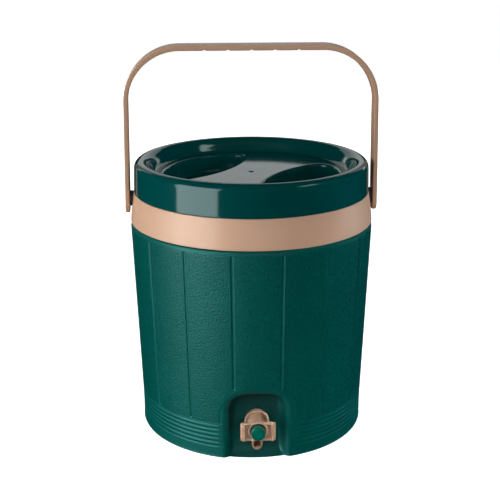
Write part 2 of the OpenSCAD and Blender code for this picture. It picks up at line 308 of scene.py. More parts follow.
def moulded(name, colour, rough, specular=0.5, vary=0.07, orange=0.00003, fine=0.000008, coat=0.0, coat_rough=0.05, ior=1.5, sheen=(1, 1, 1),
            deep=None):
    """Injection-moulded plastic: faint flow variation in colour, uneven gloss, and a very slight ripple. Given deep,
    the deep attribute paints shade into the colour.
    """
    g = Graph(name)
    drift = g.noise(14.0, 3.0, 0.55)
    speck = g.noise(900.0, 2.0, 0.5)
    tint = g.mix(g.span(drift, 0.3, 0.7, 0.0, 1.0), tone(colour, 1 - vary), tone(colour, 1 + vary))
    tint = g.mix(g.span(speck, 0.35, 0.75, 0.0, 0.10), tint, tone(colour, 0.72))
    # painted shade: where the deep attribute is high, the colour is mixed toward the deep colour
    if deep:
        tint = g.mix(g.attribute("deep"), tint, deep)
    gloss = g.math("ADD", g.span(g.noise(38.0, 4.0, 0.6), 0.3, 0.7, rough * 0.94, rough * 1.06), g.span(speck, 0.3, 0.7, -0.015, 0.02))
    wave = g.bump(g.noise(120.0, 2.0, 0.5), orange, 1.0)
    normal = g.bump(g.noise(1500.0, 2.0, 0.5), fine, 1.0, wave)
    g.set(Base_Color=tint, Roughness=gloss, Normal=normal, IOR=ior, Specular_IOR_Level=specular, Coat_Weight=coat, Coat_Roughness=coat_rough)
    g.set(Specular_Tint=tuple(sheen) + (1.0,))
    return g.mat


GREEN = (0.0, 0.052, 0.045)
GREEN_LID = (0.0, 0.0395, 0.039)
BUTTON = (0.0, 0.085, 0.060)
BEIGE = (0.430, 0.268, 0.180)
WHITE = (0.78, 0.78, 0.74)


def pebbled(name, colour):
    """The body: fine pebble grain on the raised panels, smooth moulded plastic on grooves, ribs and borders. Painted
    shade darkens the grain's pits and, by the deep attribute, the niche.
    """
    g = Graph(name)
    mask = g.attribute("pebble")
    drift = g.noise(11.0, 3.0, 0.55)
    speck = g.noise(820.0, 2.0, 0.5)
    tint = g.mix(g.span(drift, 0.3, 0.7, 0.0, 1.0), tone(colour, 0.94), tone(colour, 1.07))
    grain = g.cells(640.0, "SMOOTH_F1", 0.35)
    grain2 = g.noise(580.0, 3.0, 0.6, 0.4)
    height = g.math("ADD", g.math("MULTIPLY", grain, -0.8), g.math("MULTIPLY", grain2, 1.3))
    height = g.math("MULTIPLY", height, mask)
    # painted shade: the low pits of the grain are darkened in the colour
    pit_shade = g.math("MULTIPLY", g.span(grain2, 0.6, 0.35, 0.0, 1.0), g.math("MULTIPLY", mask, 0.25))
    tint = g.mix(pit_shade, tint, tone(colour, 0.66))
    # painted shade: the niche, by the deep attribute, is mixed toward a near-black green
    tint = g.mix(g.math("MULTIPLY", g.attribute("deep"), 0.74), tint, (0.0, 0.006, 0.006))
    smooth_rough = g.span(g.noise(60.0, 3.0, 0.6), 0.3, 0.7, 0.36, 0.43)
    panel_rough = g.span(speck, 0.3, 0.7, 0.24, 0.36)
    gloss = g.math("ADD", g.math("MULTIPLY", panel_rough, mask), g.math("MULTIPLY", smooth_rough, g.math("SUBTRACT", 1.0, mask)))
    gloss = g.math("ADD", gloss, g.math("MULTIPLY", g.attribute("deep"), 0.25))
    wave = g.bump(g.noise(90.0, 2.0, 0.5), 0.00006, 1.0)
    normal = g.bump(height, 0.00036, 1.0, wave)
    g.set(Base_Color=tint, Roughness=gloss, Normal=normal, IOR=1.5, Specular_IOR_Level=0.48, Specular_Tint=(0.42, 1.0, 1.0, 1.0))
    return g.mat


def foam(name, colour):
    g = Graph(name)
    pore = g.cells(900.0, "F1")
    # painted shade: the pore hollows are darkened in the colour
    tint = g.mix(g.span(pore, 0.1, 0.6, 0.0, 1.0), tone(colour, 0.7), colour)
    g.set(Base_Color=tint, Roughness=g.span(pore, 0.1, 0.6, 0.95, 0.8), Normal=g.bump(pore, 0.0003, 1.0))
    return g.mat


def rubber(name, colour, rough):
    g = Graph(name)
    dust = g.noise(260.0, 4.0, 0.6)
    g.set(Base_Color=g.mix(g.span(dust, 0.45, 0.8, 0.0, 0.35), colour, tone(tuple(c + 0.05 for c in colour), 1.3)),
          Roughness=g.span(dust, 0.3, 0.7, rough * 0.85, min(1.0, rough * 1.15)),
          Normal=g.bump(g.noise(1100.0, 2.0, 0.5), 0.00002, 1.0), Specular_IOR_Level=0.35)
    return g.mat


def steel(name):
    g = Graph(name)
    drawn = g.noise(2200.0, 2.0, 0.5)
    g.set(Base_Color=g.mix(g.span(drawn, 0.3, 0.7, 0.0, 1.0), (0.46, 0.46, 0.47), (0.66, 0.66, 0.67)), Metallic=1.0,
          Roughness=g.span(drawn, 0.3, 0.7, 0.22, 0.38), Normal=g.bump(drawn, 0.00001, 1.0))
    return g.mat


M_BODY = pebbled("body_green", GREEN)
M_LID = moulded("lid_green", GREEN_LID, 0.10, 0.5, 0.05, 0.00002, 0.000004, sheen=(0.80, 1.0, 1.0))
M_BUTTON = moulded("button_green", BUTTON, 0.22, 0.5, 0.05)
M_BEIGE = moulded("beige", BEIGE, 0.25, 0.37, 0.02, 0.00002, 0.000003)
# the tap's deep colour is painted shade for its bores and sunk panels
M_TAP = moulded("tap_beige", tone(BEIGE, 0.97), 0.30, 0.45, 0.03, 0.00002, 0.000012, deep=(0.055, 0.022, 0.010))
M_BEIGE_BAND = moulded("beige_band", BEIGE, 0.30, 0.45, 0.02, 0.00002, 0.000003)
M_WHITE = moulded("food_white", WHITE, 0.28, 0.4, 0.02)
M_FOAM = foam("foam", (0.62, 0.52, 0.28))
M_SILICONE = rubber("silicone", (0.62, 0.62, 0.60), 0.45)
M_RUBBER = rubber("rubber", (0.02, 0.02, 0.02), 0.6)
M_STEEL = steel("spring_steel")

CAD_LOOK = {
    "base_plate": M_BODY, "base_fill_plug": M_BODY, "foam_core": M_FOAM, "inner_liner": M_WHITE,
    "lid_foam": M_FOAM, "lid_liner": M_WHITE, "lid_fill_plug": M_WHITE, "lid_gasket": M_SILICONE,
    "tap_outer_gasket": M_SILICONE, "tap_inner_gasket": M_SILICONE, "tap_lock_nut": M_BEIGE,
    "tap_stem_oring": M_RUBBER, "tap_spring": M_STEEL, "tap_stem": M_BEIGE, "tap_valve_seal": M_RUBBER,
    "outer_shell": M_BODY, "collar_band": M_BEIGE, "pivot_pins": M_BEIGE, "handle": M_BEIGE,
    "lid_cover": M_LID, "tap_body": M_BEIGE, "tap_flange": M_BEIGE, "tap_button": M_BUTTON,
}
for node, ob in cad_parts.items():
    ob.data.materials.clear()
    ob.data.materials.append(CAD_LOOK[node])

# ------------------------------------------------------------------ outer shell
NICHE_A, NICHE_Z, NICHE_TOP, NICHE_P = 36.5, 50.0, 80.2, 2.6
BACK_Z = [-6, 0, 0.8, 2.4, 4.6, 7.6, 12, 17, 22, 40, 90]
BACK_Y = [-117.8, -117.3, -115.2, -112.2, -109.3, -107, -105.4, -104.7, -104.5, -104.5, -104.5]
STAVE = [11.25 + 22.5 * k for k in range(16)]


def arc_pts(cx, cz, r, a0, a1, n):
    return [(cx + r * math.cos(math.radians(a0 + (a1 - a0) * i / n)), cz + r * math.sin(math.radians(a0 + (a1 - a0) * i / n)))
            for i in range(n + 1)]


def arch_distance(x, z, a, zc, b, p):
    """About the distance inside an arch of half-width a whose top reaches zc + b; negative outside."""
    u = np.abs(x) / a
    v = np.maximum(z - zc, 0.0) / b
    f = np.maximum((u ** p + v ** p), 1e-9) ** (1 / p)
    du = u ** (p - 1) / a * f ** (1 - p)
    dv = v ** (p - 1) / b * f ** (1 - p)
    return np.where(z > zc, (1 - f) / np.maximum(np.hypot(du, dv), 1e-6), a - np.abs(x))


def body_profile(z):
    return np.interp(z, [0, 20, 40, 221, 225.4], [122.2, 122.3, 122.9, 130.0, 130.0])


def groove(d, half=1.75, floor=0.7, depth=0.9):
    return depth * (1 - smooth((np.abs(d) - floor) / (half - floor)))


def shell_columns():
    cols = {}
    for i in range(120):
        cols[round(-180 + 3.0 * i, 4)] = 0
    for a in STAVE:
        for o in (-3.0, -2.1, -1.75, -1.5, -1.25, -1.0, -0.75, -0.4, 0, 0.4, 0.75, 1.0, 1.25, 1.5, 1.75, 2.1, 3.0):
            c = (a + math.degrees(o / 126.5) + 180) % 360 - 180
            cols[round(c, 4)] = 2
    x = 0.0
    while x < 44.0:
        step = 0.95 if x < 20 else (0.47 if x < 37.5 else (0.68 if x < 41 else 1.7))
        for s in ((1, -1) if x > 0 else (1,)):
            cols[round(s * math.degrees(math.asin(x / 122.9)), 4)] = 3
        x += step
    out = []
    for c in sorted(cols):
        gap = 0.14 if cols[c] else 1.2
        if out and c - out[-1][0] < gap:
            if cols[c] > out[-1][1]:
                out[-1] = (c, cols[c])
            continue
        out.append((c, cols[c]))
    return np.radians(np.array([c for c, _ in out]))


def shell_mesh():
    phi = shell_columns()
    n = len(phi)
    # outer rows: (radius, height, is a plain row of the tapered wall)
    rows = [(121.0, 0.0, 0)] + [(r, z, 0) for r, z in arc_pts(121, 1.5, 1.5, -60, 0, 4)]
    heights = [2.2, 3.2, 4.4, 5.6, 7, 8.4, 10, 11.4, 12.4]
    crease0, period = 13.2, 4.86
    for i in range(5):
        heights += [crease0 + period * (i + t) for t in (0, 0.06, 0.14, 0.25, 0.38, 0.5, 0.62, 0.75, 0.86, 0.94)]
    heights += [crease0 + 5 * period + o for o in (0, 0.3, 0.6, 0.9, 1.4)] + [39.6, 40.2, 40.7, 41.2, 41.7, 42.4, 43.2, 44]
    z = 44.8
    while z < 82.5:
        heights.append(z)
        z += 0.8 if z < 60 else 0.45
    heights += [83.2, 84.5, 87, 91, 96, 104, 114, 126, 140, 154, 168, 182, 194, 203, 210, 215, 218.5,
                220.5, 221.5, 222.2, 222.7, 223.1, 223.5, 223.8, 224.1, 224.4, 224.8, 225.1]
    rows += [(float(body_profile(h)), h, 1) for h in heights]
    rows += [(r, z, 0) for r, z in arc_pts(126.4, 225.4, 3.6, 0, 75, 8)] + [(126.2, 229.0, 0), (122.6, 255.4, 0)]
    R = np.array([r[0] for r in rows])[:, None]
    Z = np.array([r[1] for r in rows])[:, None] + 0 * phi[None, :]
    plain = np.array([r[2] for r in rows])[:, None]
    P = phi[None, :] + 0 * R
    x0 = R * np.sin(P)
    front = np.cos(P) > 0.3
    # panels between the grooves stand a little proud of the smooth borders
    border = np.where(front, arch_distance(x0, Z, 38.6, 48.0, 33.0, 2.0), -99.0)
    niche = np.where(front, arch_distance(x0, Z, NICHE_A, NICHE_Z, NICHE_TOP - NICHE_Z, NICHE_P), -99.0)
    panel = smooth((Z - 39.6) / 0.9) * smooth((224.6 - Z) / 0.9) * smooth((-border + 0.2) / 1.4)
    cut = np.zeros_like(Z)
    for a in STAVE:
        d = (P - math.radians(a) + math.pi) % TAU - math.pi
        s = d * R
        low = 79.5 if min(a, 360 - a) < 15 else 40.6
        dist = np.hypot(s, np.maximum(np.maximum(low + 1.2 - Z, Z - 222.4), 0))
        cut = np.maximum(cut, groove(dist))
    side = smooth((np.abs(x0) - 35.5) / 2.0) * smooth((Z - 41.5) / 0.8)
    cut = np.maximum(cut, np.where(front, groove(border, 1.5, 0.2, 0.16) * side, 0))
    ends = np.where(front, smooth((np.abs(x0) - 39.5) / 3.0), 1.0)
    t = (Z - crease0) / period
    inside = (t >= 0) & (t <= 5)
    bead = np.where(inside, (2 * (t - np.floor(np.minimum(t, 4.9999))) - 1) ** 2, 0.0)
    bead = np.where(t < 0, np.clip(1 + t * period / 0.9, 0, 1) ** 2, bead)
    bead = np.where(t > 5, np.clip(1 - (t - 5) * period / 0.9, 0, 1) ** 2, bead)
    cut = np.maximum(cut, 0.72 * bead * ends)
    radius = R - plain * (cut + 0.35 * (1 - panel) * smooth((Z - 38.5) / 1.2)) - (1 - plain) * np.where(Z > 200, 0.35 * smooth((229.2 - Z) / 1.0), 0)
    X = radius * np.sin(P)
    Y = -radius * np.cos(P)
    back = pchip(BACK_Z, BACK_Y, Z) + x0 ** 2 / 235.0 * (1 - smooth(Z / 14.0))
    lip, lean = 7.5, math.radians(66)
    slope = math.tan(lean)
    turn_d = lip * math.sin(lean)
    turn_h = lip * (1 - math.cos(lean))
    inner = np.maximum(niche, 0)
    wall = np.where(inner < turn_d, lip - np.sqrt(np.maximum(lip ** 2 - np.minimum(inner, turn_d) ** 2, 0)), turn_h + slope * (inner - turn_d))
    H = np.maximum(back - Y, 0.0)
    deep = smin(wall, H, np.minimum(6.0, 0.8 * H))
    Y = np.where(front & (niche > 0), Y + np.maximum(deep, 0), Y)
    # painted shade for the niche: grows with depth and height and mostly spares the right wall; it reaches the body
    # material as the deep attribute
    shade = smooth((deep - 2.0) / 6.0) * (niche > 0) * front * (0.5 + 0.5 * smooth((Z - 12) / 45.0)) * (1 - 0.85 * smooth((x0 - 21.0) / 5.0))
    pebble = (panel * (1 - smooth(cut / 0.25)) * smooth((-niche - 1.0) / 2.5)).astype(float)
    outer = np.stack([X, Y, Z], -1)
    # inner wall, with the pocket's back 3 mm behind the niche
    hole_rows = [i for i, r in enumerate(rows) if 26 <= r[1] <= 50]
    in_z = [0.0, 3.0, 8.0, 14.0, 20.0] + [rows[i][1] for i in hole_rows] + [54, 58, 62, 65, 68, 71, 74, 77, 80, 84, 110, 150, 190, 219, 229, 255.4]
    in_r = np.interp(in_z, [0, 20, 40, 219, 229, 255.4], [119.2, 119.2, 119.9, 127.0, 123.2, 119.6])[:, None]
    Zi = np.array(in_z)[:, None] + 0 * phi[None, :]
    Xi = in_r * np.sin(phi)[None, :]
    Yi = -in_r * np.cos(phi)[None, :]
    fr = np.cos(phi)[None, :] + 0 * Zi > 0.3
    ni = np.where(fr, arch_distance(Xi, Zi, NICHE_A, NICHE_Z, NICHE_TOP - NICHE_Z, NICHE_P), -99.0)
    Hi = np.maximum(pchip(BACK_Z, BACK_Y, Zi) + Xi ** 2 / 235.0 * (1 - smooth(Zi / 14.0)) + 3.0 - Yi, 0.0)
    Yi = np.where(ni > -1.5, Yi + np.minimum(np.maximum(2.6 * (ni + 1.5), 0), Hi), Yi)
    innerp = np.stack([Xi, Yi, Zi], -1)
    # the tap's hole through the back of the niche
    def holed(pts):
        c = 0.25 * (pts[:-1] + pts[1:] + np.roll(pts, -1, 1)[:-1] + np.roll(pts, -1, 1)[1:])
        return (np.hypot(c[..., 0], c[..., 2] - 38.0) < 10.2) & (c[..., 1] < -80)
    skip_o = holed(outer)
    skip_i = holed(innerp)
    nr_o, nr_i = len(rows), len(in_z)
    base = nr_o * n
    faces = grid_faces(nr_o, n, True, 0, skip_o)
    faces += [f[::-1] for f in grid_faces(nr_i, n, True, base, skip_i)]
    for j in range(n):
        k = (j + 1) % n
        faces.append((j, base + j, base + k, k))
        faces.append(((nr_o - 1) * n + j, (nr_o - 1) * n + k, base + (nr_i - 1) * n + k, base + (nr_i - 1) * n + j))
    V = np.concatenate([outer.reshape(-1, 3), innerp.reshape(-1, 3)])
    # snap both rims of the hole to a circle and join them
    first_i = 5
    def edges_of(skip):
        cells = {(i, j) for i, j in zip(*np.nonzero(skip))}
        es = []
        for i, j in cells:
            k = (j + 1) % n
            for (di, dj, a, b) in ((-1, 0, (i, j), (i, k)), (1, 0, (i + 1, k), (i + 1, j)), (0, -1, (i + 1, j), (i, j)), (0, 1, (i, k), (i + 1, k))):
                if (i + di, (j + dj) % n) not in cells:
                    es.append((a, b))
        return es
    shift = hole_rows[0] - first_i
    for (a, b) in edges_of(skip_o):
        ia, ib = a[0] * n + a[1], b[0] * n + b[1]
        ja, jb = base + (a[0] - shift) * n + a[1], base + (b[0] - shift) * n + b[1]
        faces.append((ia, ib, jb, ja))
    for (a, b) in edges_of(skip_o):
        for i, j in (a, b):
            for at in (i * n + j, base + (i - shift) * n + j):
                d = np.array([V[at, 0], V[at, 2] - 38.0])
                d *= 10.2 / max(np.linalg.norm(d), 1e-6)
                V[at, 0], V[at, 2] = d[0], 38.0 + d[1]
    peb = np.concatenate([pebble.ravel(), np.zeros(nr_i * n)])
    same = np.array_equal(skip_o[hole_rows[0]:hole_rows[-1]], skip_i[first_i:first_i + len(hole_rows) - 1])
    print("shell", V.shape, len(faces), "hole matches", same)
    return V, faces, peb, np.concatenate([np.clip(shade, 0, 1).ravel(), np.zeros(nr_i * n)])


# low carries the niche's painted shade into the deep attribute
v, f, peb, low = shell_mesh()
piece("shell", v, f, M_BODY, "jug", ["outer_shell"], attrs={"pebble": peb, "deep": low})


# ------------------------------------------------------------------ lid
LID_ANGLE = math.radians(58.5)


def well_level(u, v):
    """About the distance outside a finger well, in the lid's own axes: u along the bridge, v across it."""
    a = np.hypot(u, v) - 93.0
    b = np.hypot(u, v - 178.7) - 150.0
    return smax(smax(a, b, 9.0), np.abs(u) - 71.0, 12.0)


def well_rings(offsets, count):
    """Closed rings of the well's outline, moved inward by each offset, with matching points."""
    def ring(angles, o):
        lo, hi = np.zeros_like(angles), np.full_like(angles, 130.0)
        for _ in range(44):
            mid = 0.5 * (lo + hi)
            out = well_level(mid * np.cos(angles), 60.0 + mid * np.sin(angles)) + o > 0
            lo, hi = np.where(out, lo, mid), np.where(out, mid, hi)
        return np.stack([lo * np.cos(angles), 60.0 + lo * np.sin(angles)], -1)
    dense = TAU * np.arange(1440) / 1440
    p = ring(dense, 0.0)
    step = np.linalg.norm(np.diff(np.vstack([p, p[:1]]), axis=0), axis=1)
    # a little closer together where the outline turns
    d = np.vstack([p[-1:], p, p[:1]])
    t = np.arctan2(*(d[2:] - d[1:-1]).T[::-1]) - np.arctan2(*(d[1:-1] - d[:-2]).T[::-1])
    t = np.abs((t + math.pi) % TAU - math.pi)
    weight = np.concatenate([[0], np.cumsum(step + 14.0 * t)])
    want = weight[-1] * np.arange(count) / count
    angles = np.interp(want, weight, np.concatenate([dense, [TAU]]))
    return [ring(angles, o) for o in offsets]


def curve_through(points, count):
    p = np.array(points, float)
    s = np.concatenate([[0], np.cumsum(np.linalg.norm(np.diff(p, axis=0), axis=1))])
    q = np.linspace(0, s[-1], count)
    return list(zip(pchip(s, p[:, 0], q), pchip(s, p[:, 1], q)))


def lid_mesh():
    n = 256
    floor_z = 278.9
    profile = [(125.45, 260.7), (125.68, 261.0), (125.69, 261.6), (125.5, 268.0), (125.25, 277.0), (125.02, 285.2)]
    profile += arc_pts(117.2, 286.1, 7.8, 0, 88, 12)
    profile += curve_through([(117.0, 293.9), (115.4, 293.75), (113.6, 293.2), (111.9, 292.2), (110.4, 290.7), (108.8, 288.3), (107.5, 286.0),
                              (106.2, 283.6), (105.2, 281.8), (104.2, 280.4), (103.3, 279.45), (102.4, 279.02), (101.6, 278.9)], 26)[1:]
    profile += [(101.0, floor_z)]
    verts, faces = revolve(profile, n)
    top = [tuple(q) for q in verts]
    last = len(profile) - 1
    loops = [[last * n + i for i in range(n)]]
    # wells
    count = 220
    steps = [(-3.2, floor_z), (-2.7, floor_z)]
    steps += [(-2.6 + 2.6 * math.sin(math.radians(a)), floor_z - 2.6 + 2.6 * math.cos(math.radians(a))) for a in (12, 26, 40, 54, 68, 80)]
    steps += [(0.06, 275.8), (0.5, 270.0), (0.95, 264.6)]
    steps += [(4.95 - 4.0 * math.cos(math.radians(a)), 263.3 - 4.0 * math.sin(math.radians(a))) for a in (8, 22, 38, 54, 70, 84)]
    steps += [(5.3, 259.3), (6.0, 259.3), (14.0, 259.3)]
    rings = well_rings([s[0] for s in steps], count)
    c, s = math.cos(LID_ANGLE), math.sin(LID_ANGLE)
    for side in (1, -1):
        base = len(top)
        for (o, z), ring in zip(steps, rings):
            for u, v in ring:
                u2_, v2_ = side * u, side * v
                top.append((u2_ * c - v2_ * s, u2_ * s + v2_ * c, z))
        m = len(steps)
        faces += [f[::-1] for f in grid_faces(m, count, True, base)]
        mid = len(top)
        u0, v0 = 0.0, side * 58.0
        top.append((u0 * c - v0 * s, u0 * s + v0 * c, 259.3))
        for i in range(count):
            faces.append((base + (m - 1) * count + (i + 1) % count, base + (m - 1) * count + i, mid))
        loops.append([base + i for i in range(count)])
    # the small dimple at the centre
    base = len(top)
    dim = [(3.6, 278.9), (3.1, 278.88), (2.6, 278.7), (2.1, 278.35), (1.6, 278.05), (1.0, 277.85), (0.5, 277.8)]
    for r, z in dim:
        for i in range(32):
            top.append((r * math.cos(TAU * i / 32), r * math.sin(TAU * i / 32), z))
    faces += [f[::-1] for f in grid_faces(len(dim), 32, True, base)]
    top.append((0, 0, 277.79))
    for i in range(32):
        faces.append((base + 6 * 32 + (i + 1) % 32, base + 6 * 32 + i, len(top) - 1))
    loops.append([base + i for i in range(32)])
    # the flat floor between these loops
    index = [i for loop in loops for i in loop]
    flat = [Vector(top[i][:2]) for i in index]
    edges, at = [], 0
    for loop in loops:
        edges += [(at + i, at + (i + 1) % len(loop)) for i in range(len(loop))]
        at += len(loop)
    out_v, _, out_f, orig, _, _ = delaunay_2d_cdt(flat, edges, [], 1, 1e-7)
    back = [index[o[0]] if o else None for o in orig]
    for f in out_f:
        g = np.mean([[out_v[i].x, out_v[i].y] for i in f], axis=0)
        u, v = g[0] * c + g[1] * s, -g[0] * s + g[1] * c
        if np.hypot(*g) > 101.0 or np.hypot(*g) < 3.55:
            continue
        if float(well_level(np.array(u), np.array(v))) < 3.1 or float(well_level(np.array(u), np.array(-v))) < 3.1:
            continue
        if all(back[i] is not None for i in f):
            faces.append(tuple(back[i] for i in f))
    top = np.array(top)
    # an even skin: the underside lies 2.2 mm behind the top, along its normals
    bm = bmesh.new()
    bv = [bm.verts.new(q) for q in top]
    for f in faces:
        try:
            bm.faces.new([bv[i] for i in f])
        except ValueError:
            pass
    bmesh.ops.recalc_face_normals(bm, faces=bm.faces)
    bm.normal_update()
    normals = np.array([q.normal[:] for q in bv])
    if normals[last * n][2] < 0:
        normals = -normals
    bm.free()
    under = top - normals * 2.2
    under[:n] = np.stack([top[:n, 0] * 122.7 / 125.45, top[:n, 1] * 122.7 / 125.45, top[:n, 2]], -1)
    under[n:3 * n, :2] = under[n:3 * n, :2] * (122.9 / np.hypot(under[n:3 * n, 0], under[n:3 * n, 1]))[:, None]
    k = len(top)
    all_faces = faces + [tuple(i + k for i in f[::-1]) for f in faces]
    for i in range(n):
        j = (i + 1) % n
        all_faces.append((i, i + k, j + k, j))
    print("lid", 2 * k, len(all_faces))
    return np.concatenate([top, under]), all_faces


v, f = lid_mesh()
piece("lid_top", v, f, M_LID, "lid", ["lid_cover"])


# ------------------------------------------------------------------ collar band, pins
def band_mesh():
    profile = fillet([(126.16, 229.3, 0.2), (129.9, 229.3, 0.6), (129.35, 236.0, 20.0), (128.1, 245.0, 30.0), (126.85, 252.6, 30.0), (125.75, 259.7, 0.5), (125.2, 260.4, 0.5), (116.0, 260.4, 0.3), (116.0, 258.4),
                      (122.6, 258.4), (122.6, 255.4)])
    profile = support(profile, True, 0.5, 3.0)
    band = revolve(profile, 256, closed=True)
    parts = [band]
    for side in (1, -1):
        prof = fillet([(4.02, 117.5), (9.2, 117.5), (9.2, 125.6, 0.9), (8.2, 126.3, 0.4), (8.2, 126.9, 0.2), (4.02, 126.9)])
        boss = revolve([(r, side * t) for r, t in support(prof, True, 0.3, 1.5)], 64, "x", (0, 0, 251.5), closed=True)
        parts.append(boss)
    return joined(*parts)


v, f = band_mesh()
piece("collar", v, f, M_BEIGE_BAND, "jug", ["collar_band"])

# near-black rubber spacers on the pivot bosses; their black also stands in for the deep shade between each handle leg
# and the band, as painted shade
shadow_washers = []
for side in (1, -1):
    prof = fillet([(4.05, 126.9), (8.0, 126.9), (8.3, 127.3, 0.3), (8.3, 129.6, 0.5), (7.7, 130.15, 0.3), (4.05, 130.15, 0.2)])
    shadow_washers.append(revolve([(r, side * t) for r, t in support(prof, True, 0.25, 1.2)], 64, "x", (0, 0, 251.5), closed=True))
v, f = joined(*shadow_washers)
piece("pivot_shadow_washers", v, f, M_RUBBER, "jug", ["collar_band"])

pins = []
for side in (1, -1):
    prof = [(0, 124.4)] + fillet([(3.4, 124.4), (4.0, 125.2), (4.0, 132.95), (7.0, 132.95, 0.25), (7.0, 134.4, 0.5), (5.6, 134.75, 0.8), (4.9, 134.35, 0.3)], False) + [(0, 134.3)]
    pins.append(revolve([(r, side * t) for r, t in prof], 48, "x", (0, 0, 251.5)))
v, f = joined(*pins)
piece("pins", v, f, M_BEIGE, "jug", ["pivot_pins"])


# ------------------------------------------------------------------ handle
def handle_mesh():
    """A strap bent over the lid, with round feet, pin holes with counterbores, and finger notches under the grip."""
    zc, half = 251.5, 11.25
    lean = (135.0 - 133.5) / (355.2 - zc)
    # stations along the strap, as (x, z) of the outer face and its outward normal
    line = []
    top_of_foot = 13.0
    for z in np.linspace(zc + top_of_foot, 355.2, 15):
        line.append((135.0 - (z - zc) * lean, z, 1.0, lean))
    cx, cz, r = 74.5, 355.2, 59.0
    for i in range(1, 29):
        a = math.pi / 2 * i / 28
        line.append((cx + r * math.cos(a), cz + r * math.sin(a), math.cos(a), math.sin(a)))
    xs = set(np.round(np.arange(0, 74.0, 2.0), 3).tolist())
    for k in range(3):
        for o in (-3.4, -2.8, -2.3, -1.9, -1.5, -1.1, -0.7, -0.35, 0, 0.35, 0.7, 1.1, 1.5, 1.9, 2.3, 2.8, 3.4):
            xs.add(round(abs(24.4 * k + o), 3))
    xs = sorted(x for x in xs if x < 73.6)
    keep = []
    for x in xs:
        near = min(abs(x - 24.4 * k) for k in range(3)) < 3.5
        if keep and x - keep[-1] < (0.3 if near else 0.9):
            continue
        keep.append(x)
    for x in reversed(keep):
        line.append((x, 414.2, 0.0, 1.0))
    right = line
    left = [(-x, z, -nx, nz) for x, z, nx, nz in reversed(line) if x > 1e-6]
    line = right + left
    m = len(line)

    def thick(i):
        x, z, nx, nz = line[i]
        return 4.6 + 1.3 * float(smooth(np.array((z - 350.0) / 62.0)))

    def notch(i):
        x, z, nx, nz = line[i]
        if z < 414.1:
            return 0.0
        d = min(abs(abs(x) - 24.4 * k) for k in range(3))
        # a shallow round channel with softened lips
        return 0.9 * (1 - float(smooth(np.array(d / 2.6))))

    # angles around a foot; the upper sector matches the strap's points across
    upper = [math.atan2(w, top_of_foot) for w in np.linspace(half, -half, 9)]
    wide = []
    for t in np.linspace(0.15, 1, 7)[:-1]:
        wide.append(math.atan2(-half, top_of_foot * (1 - t)))
    drop = 4.3
    round_end = [(-half, -h) for h in (0, 1.5, 3.0)]
    round_end += [(-half * math.cos(math.pi * i / 24), -drop - half * math.sin(math.pi * i / 24)) for i in range(25)]
    round_end += [(half, -h) for h in (3.0, 1.5, 0)]
    lower = [math.atan2(w, h) - (TAU if w > 1e-9 else 0.0) for w, h in round_end]
    lower = [a if a < 0 else a - TAU for a in lower]
    wide2 = [math.atan2(half, top_of_foot * (1 - t)) - TAU for t in reversed(list(np.linspace(0.15, 1, 7)[:-1]))]
    angles = upper + wide + lower + wide2
    verts, faces, weights = [], [], {}

    def add(p):
        verts.append(p)
        return len(verts) - 1

    def rim(a):
        c, s = math.cos(a), math.sin(a)       # s across, c up
        if c > 1e-9:
            k = min(half / abs(s) if abs(s) > 1e-9 else 1e9, top_of_foot / c)
            return s * k, c * k
        k = half / abs(s) if abs(s) > 1e-9 else 1e9
        if c * k < -drop:
            k = -drop * c + math.sqrt(drop * drop * c * c - drop * drop + half * half)
        return s * k, c * k

    ends = []
    for side in (1, -1):
        na = len(angles)

        def at(w, h, depth):
            x = 135.0 - h * lean - depth
            return (side * x, w, zc + h)
        def ring(radius, depth_of):
            return [add(at(radius * math.sin(a), radius * math.cos(a), depth_of(radius * math.cos(a)))) for a in angles]
        outer_rim = [add(at(*rim(a), 0.0)) for a in angles]
        mid_o = [add(at(*(0.5 * np.array(rim(a)) + 0.5 * 7.3 * np.array([math.sin(a), math.cos(a)])), 0.0)) for a in angles]
        cb_o = ring(7.3, lambda h: 0.0)
        cb_i = ring(7.3, lambda h: 135.0 - h * lean - 132.8)
        ho = ring(4.07, lambda h: 135.0 - h * lean - 132.8)
        hi = ring(4.07, lambda h: 4.6)
        mid_i = [add(at(*(0.5 * np.array(rim(a)) + 0.5 * 4.07 * np.array([math.sin(a), math.cos(a)])), 4.6)) for a in angles]
        inner_rim = [add(at(*rim(a), 4.6)) for a in angles]
        seq = [outer_rim, mid_o, cb_o, cb_i, ho, hi, mid_i, inner_rim]
        for a, b in zip(seq, seq[1:]):
            for i in range(na):
                j = (i + 1) % na
                faces.append((a[i], a[j], b[j], b[i]))
        nu = len(upper)
        for i in range(nu - 1, na):
            j = (i + 1) % na
            faces.append((inner_rim[i], inner_rim[j], outer_rim[j], outer_rim[i]))
            weights[frozenset((outer_rim[i], outer_rim[j]))] = 1.0
            weights[frozenset((inner_rim[i], inner_rim[j]))] = 0.85
        for i in range(na):
            j = (i + 1) % na
            weights[frozenset((cb_o[i], cb_o[j]))] = 0.28
            weights[frozenset((hi[i], hi[j]))] = 0.2
        ends.append((outer_rim[:nu], inner_rim[:nu]))
